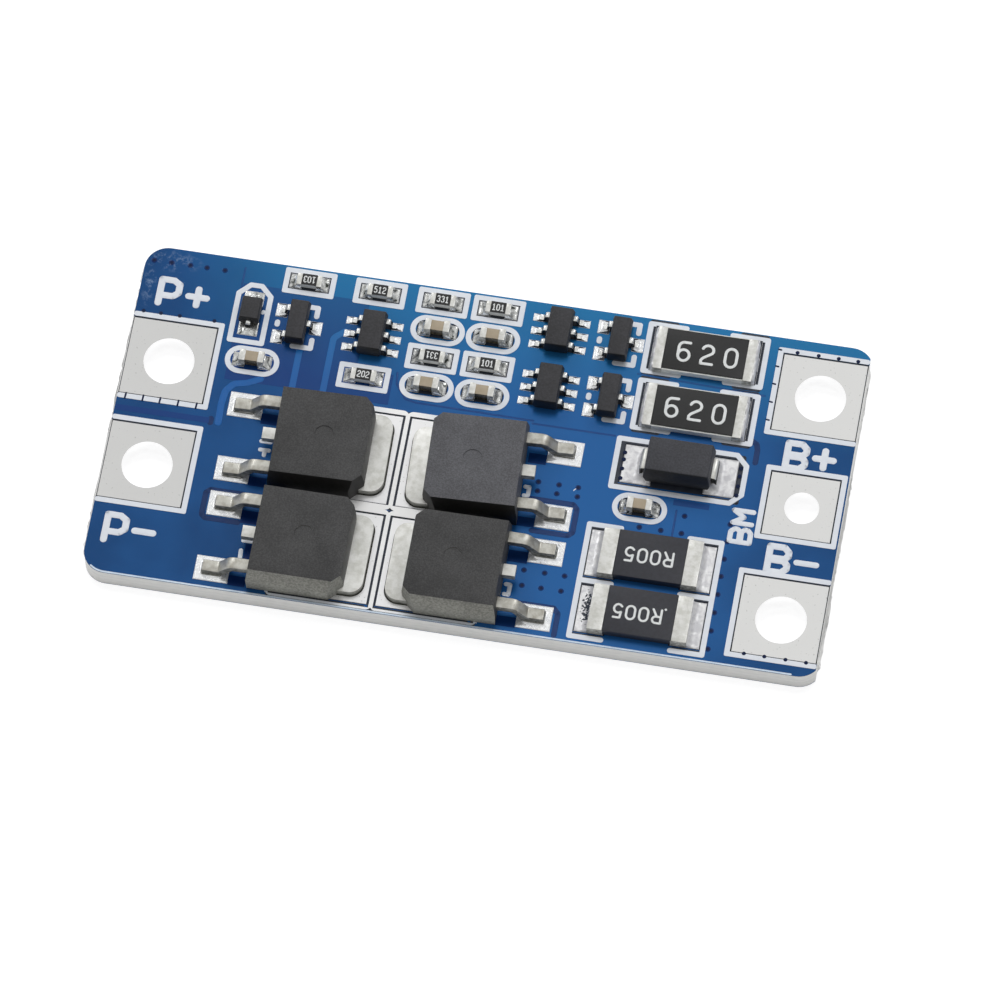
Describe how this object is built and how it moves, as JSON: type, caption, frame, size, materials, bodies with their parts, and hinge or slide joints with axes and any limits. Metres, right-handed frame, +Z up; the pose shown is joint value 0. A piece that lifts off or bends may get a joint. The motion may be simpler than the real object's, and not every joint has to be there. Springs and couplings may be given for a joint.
{
  "type": "battery management board",
  "caption": "Flat blue circuit board for a small lithium pack, with square holed wire terminals at both ends, moulded power transistors, shunt and bleed resistors and small control chips.",
  "frame": {"origin": "middle of the flat bottom face, under the middle of the board", "axes": "+X along the board's long side towards the cell terminals, +Y towards the edge with the control chips, +Z up out of the component side"},
  "size_m": [0.0472, 0.0232, 0.0039],
  "materials": {
    "fr4_laminate": "cut glass-epoxy, matt",
    "blue_solder_mask": "semi-gloss lacquer",
    "tinned_copper": "levelled tin, satin",
    "white_legend_ink": "matt ink",
    "tinned_end_cap": "satin",
    "tinned_leadframe": "satin",
    "capacitor_ceramic": "satin",
    "resistor_overcoat": "satin",
    "mould_compound": "fine-grained, matt"
  },
  "bodies": {
    "root": {"b_middle_terminal": "tinned_copper", "b_minus_terminal": "tinned_copper", "b_plus_terminal": "tinned_copper", "balance_chip_lower_body": "mould_compound", "balance_chip_lower_leads": "tinned_leadframe", "balance_chip_upper_body": "mould_compound", "balance_chip_upper_leads": "tinned_leadframe", "bleed_resistor_lower_body": "resistor_overcoat", "bleed_resistor_lower_end_caps": "tinned_end_cap", "bleed_resistor_upper_body": "resistor_overcoat", "bleed_resistor_upper_end_caps": "tinned_end_cap", "bleed_transistor_lower_body": "mould_compound", "bleed_transistor_lower_leads": "tinned_leadframe", "bleed_transistor_upper_body": "mould_compound", "bleed_transistor_upper_leads": "tinned_leadframe", "board_laminate": "fr4_laminate", "component_lands": "tinned_copper", "filter_capacitor_lower_left_body": "capacitor_ceramic", "filter_capacitor_lower_right_body": "capacitor_ceramic", "filter_capacitor_upper_left_body": "capacitor_ceramic", "filter_capacitor_upper_right_body": "capacitor_ceramic", "mosfet_lower_left_body": "mould_compound", "mosfet_lower_left_drain_tab": "tinned_leadframe", "mosfet_lower_left_leads": "tinned_leadframe", "mosfet_lower_right_body": "mould_compound", "mosfet_lower_right_drain_tab": "tinned_leadframe", "mosfet_lower_right_leads": "tinned_leadframe", "mosfet_upper_left_body": "mould_compound", "mosfet_upper_left_drain_tab": "tinned_leadframe", "mosfet_upper_left_leads": "tinned_leadframe", "mosfet_upper_right_body": "mould_compound", "mosfet_upper_right_drain_tab": "tinned_leadframe", "mosfet_upper_right_leads": "tinned_leadframe", "p_minus_terminal": "tinned_copper", "p_plus_terminal": "tinned_copper", "protection_chip_body": "mould_compound", "protection_chip_leads": "tinned_leadframe", "rectifier_body": "mould_compound", "rectifier_leads": "tinned_leadframe", "resistor_101_lower_body": "resistor_overcoat", "resistor_101_upper_body": "resistor_overcoat", "resistor_103_body": "resistor_overcoat", "resistor_202_body": "resistor_overcoat", "resistor_331_lower_body": "resistor_overcoat", "resistor_331_upper_body": "resistor_overcoat", "resistor_512_body": "resistor_overcoat", "sense_capacitor_body": "capacitor_ceramic", "shunt_resistor_lower_body": "resistor_overcoat", "shunt_resistor_lower_end_caps": "tinned_end_cap", "shunt_resistor_upper_body": "resistor_overcoat", "shunt_resistor_upper_end_caps": "tinned_end_cap", "silkscreen_frames": "white_legend_ink", "small_chip_end_caps": "tinned_end_cap", "small_diode_body": "mould_compound", "small_diode_leads": "tinned_leadframe", "solder_mask_bottom": "blue_solder_mask", "solder_mask_top": "blue_solder_mask", "supply_capacitor_body": "capacitor_ceramic", "switch_transistor_body": "mould_compound", "switch_transistor_leads": "tinned_leadframe"}
  },
  "joints": []
}
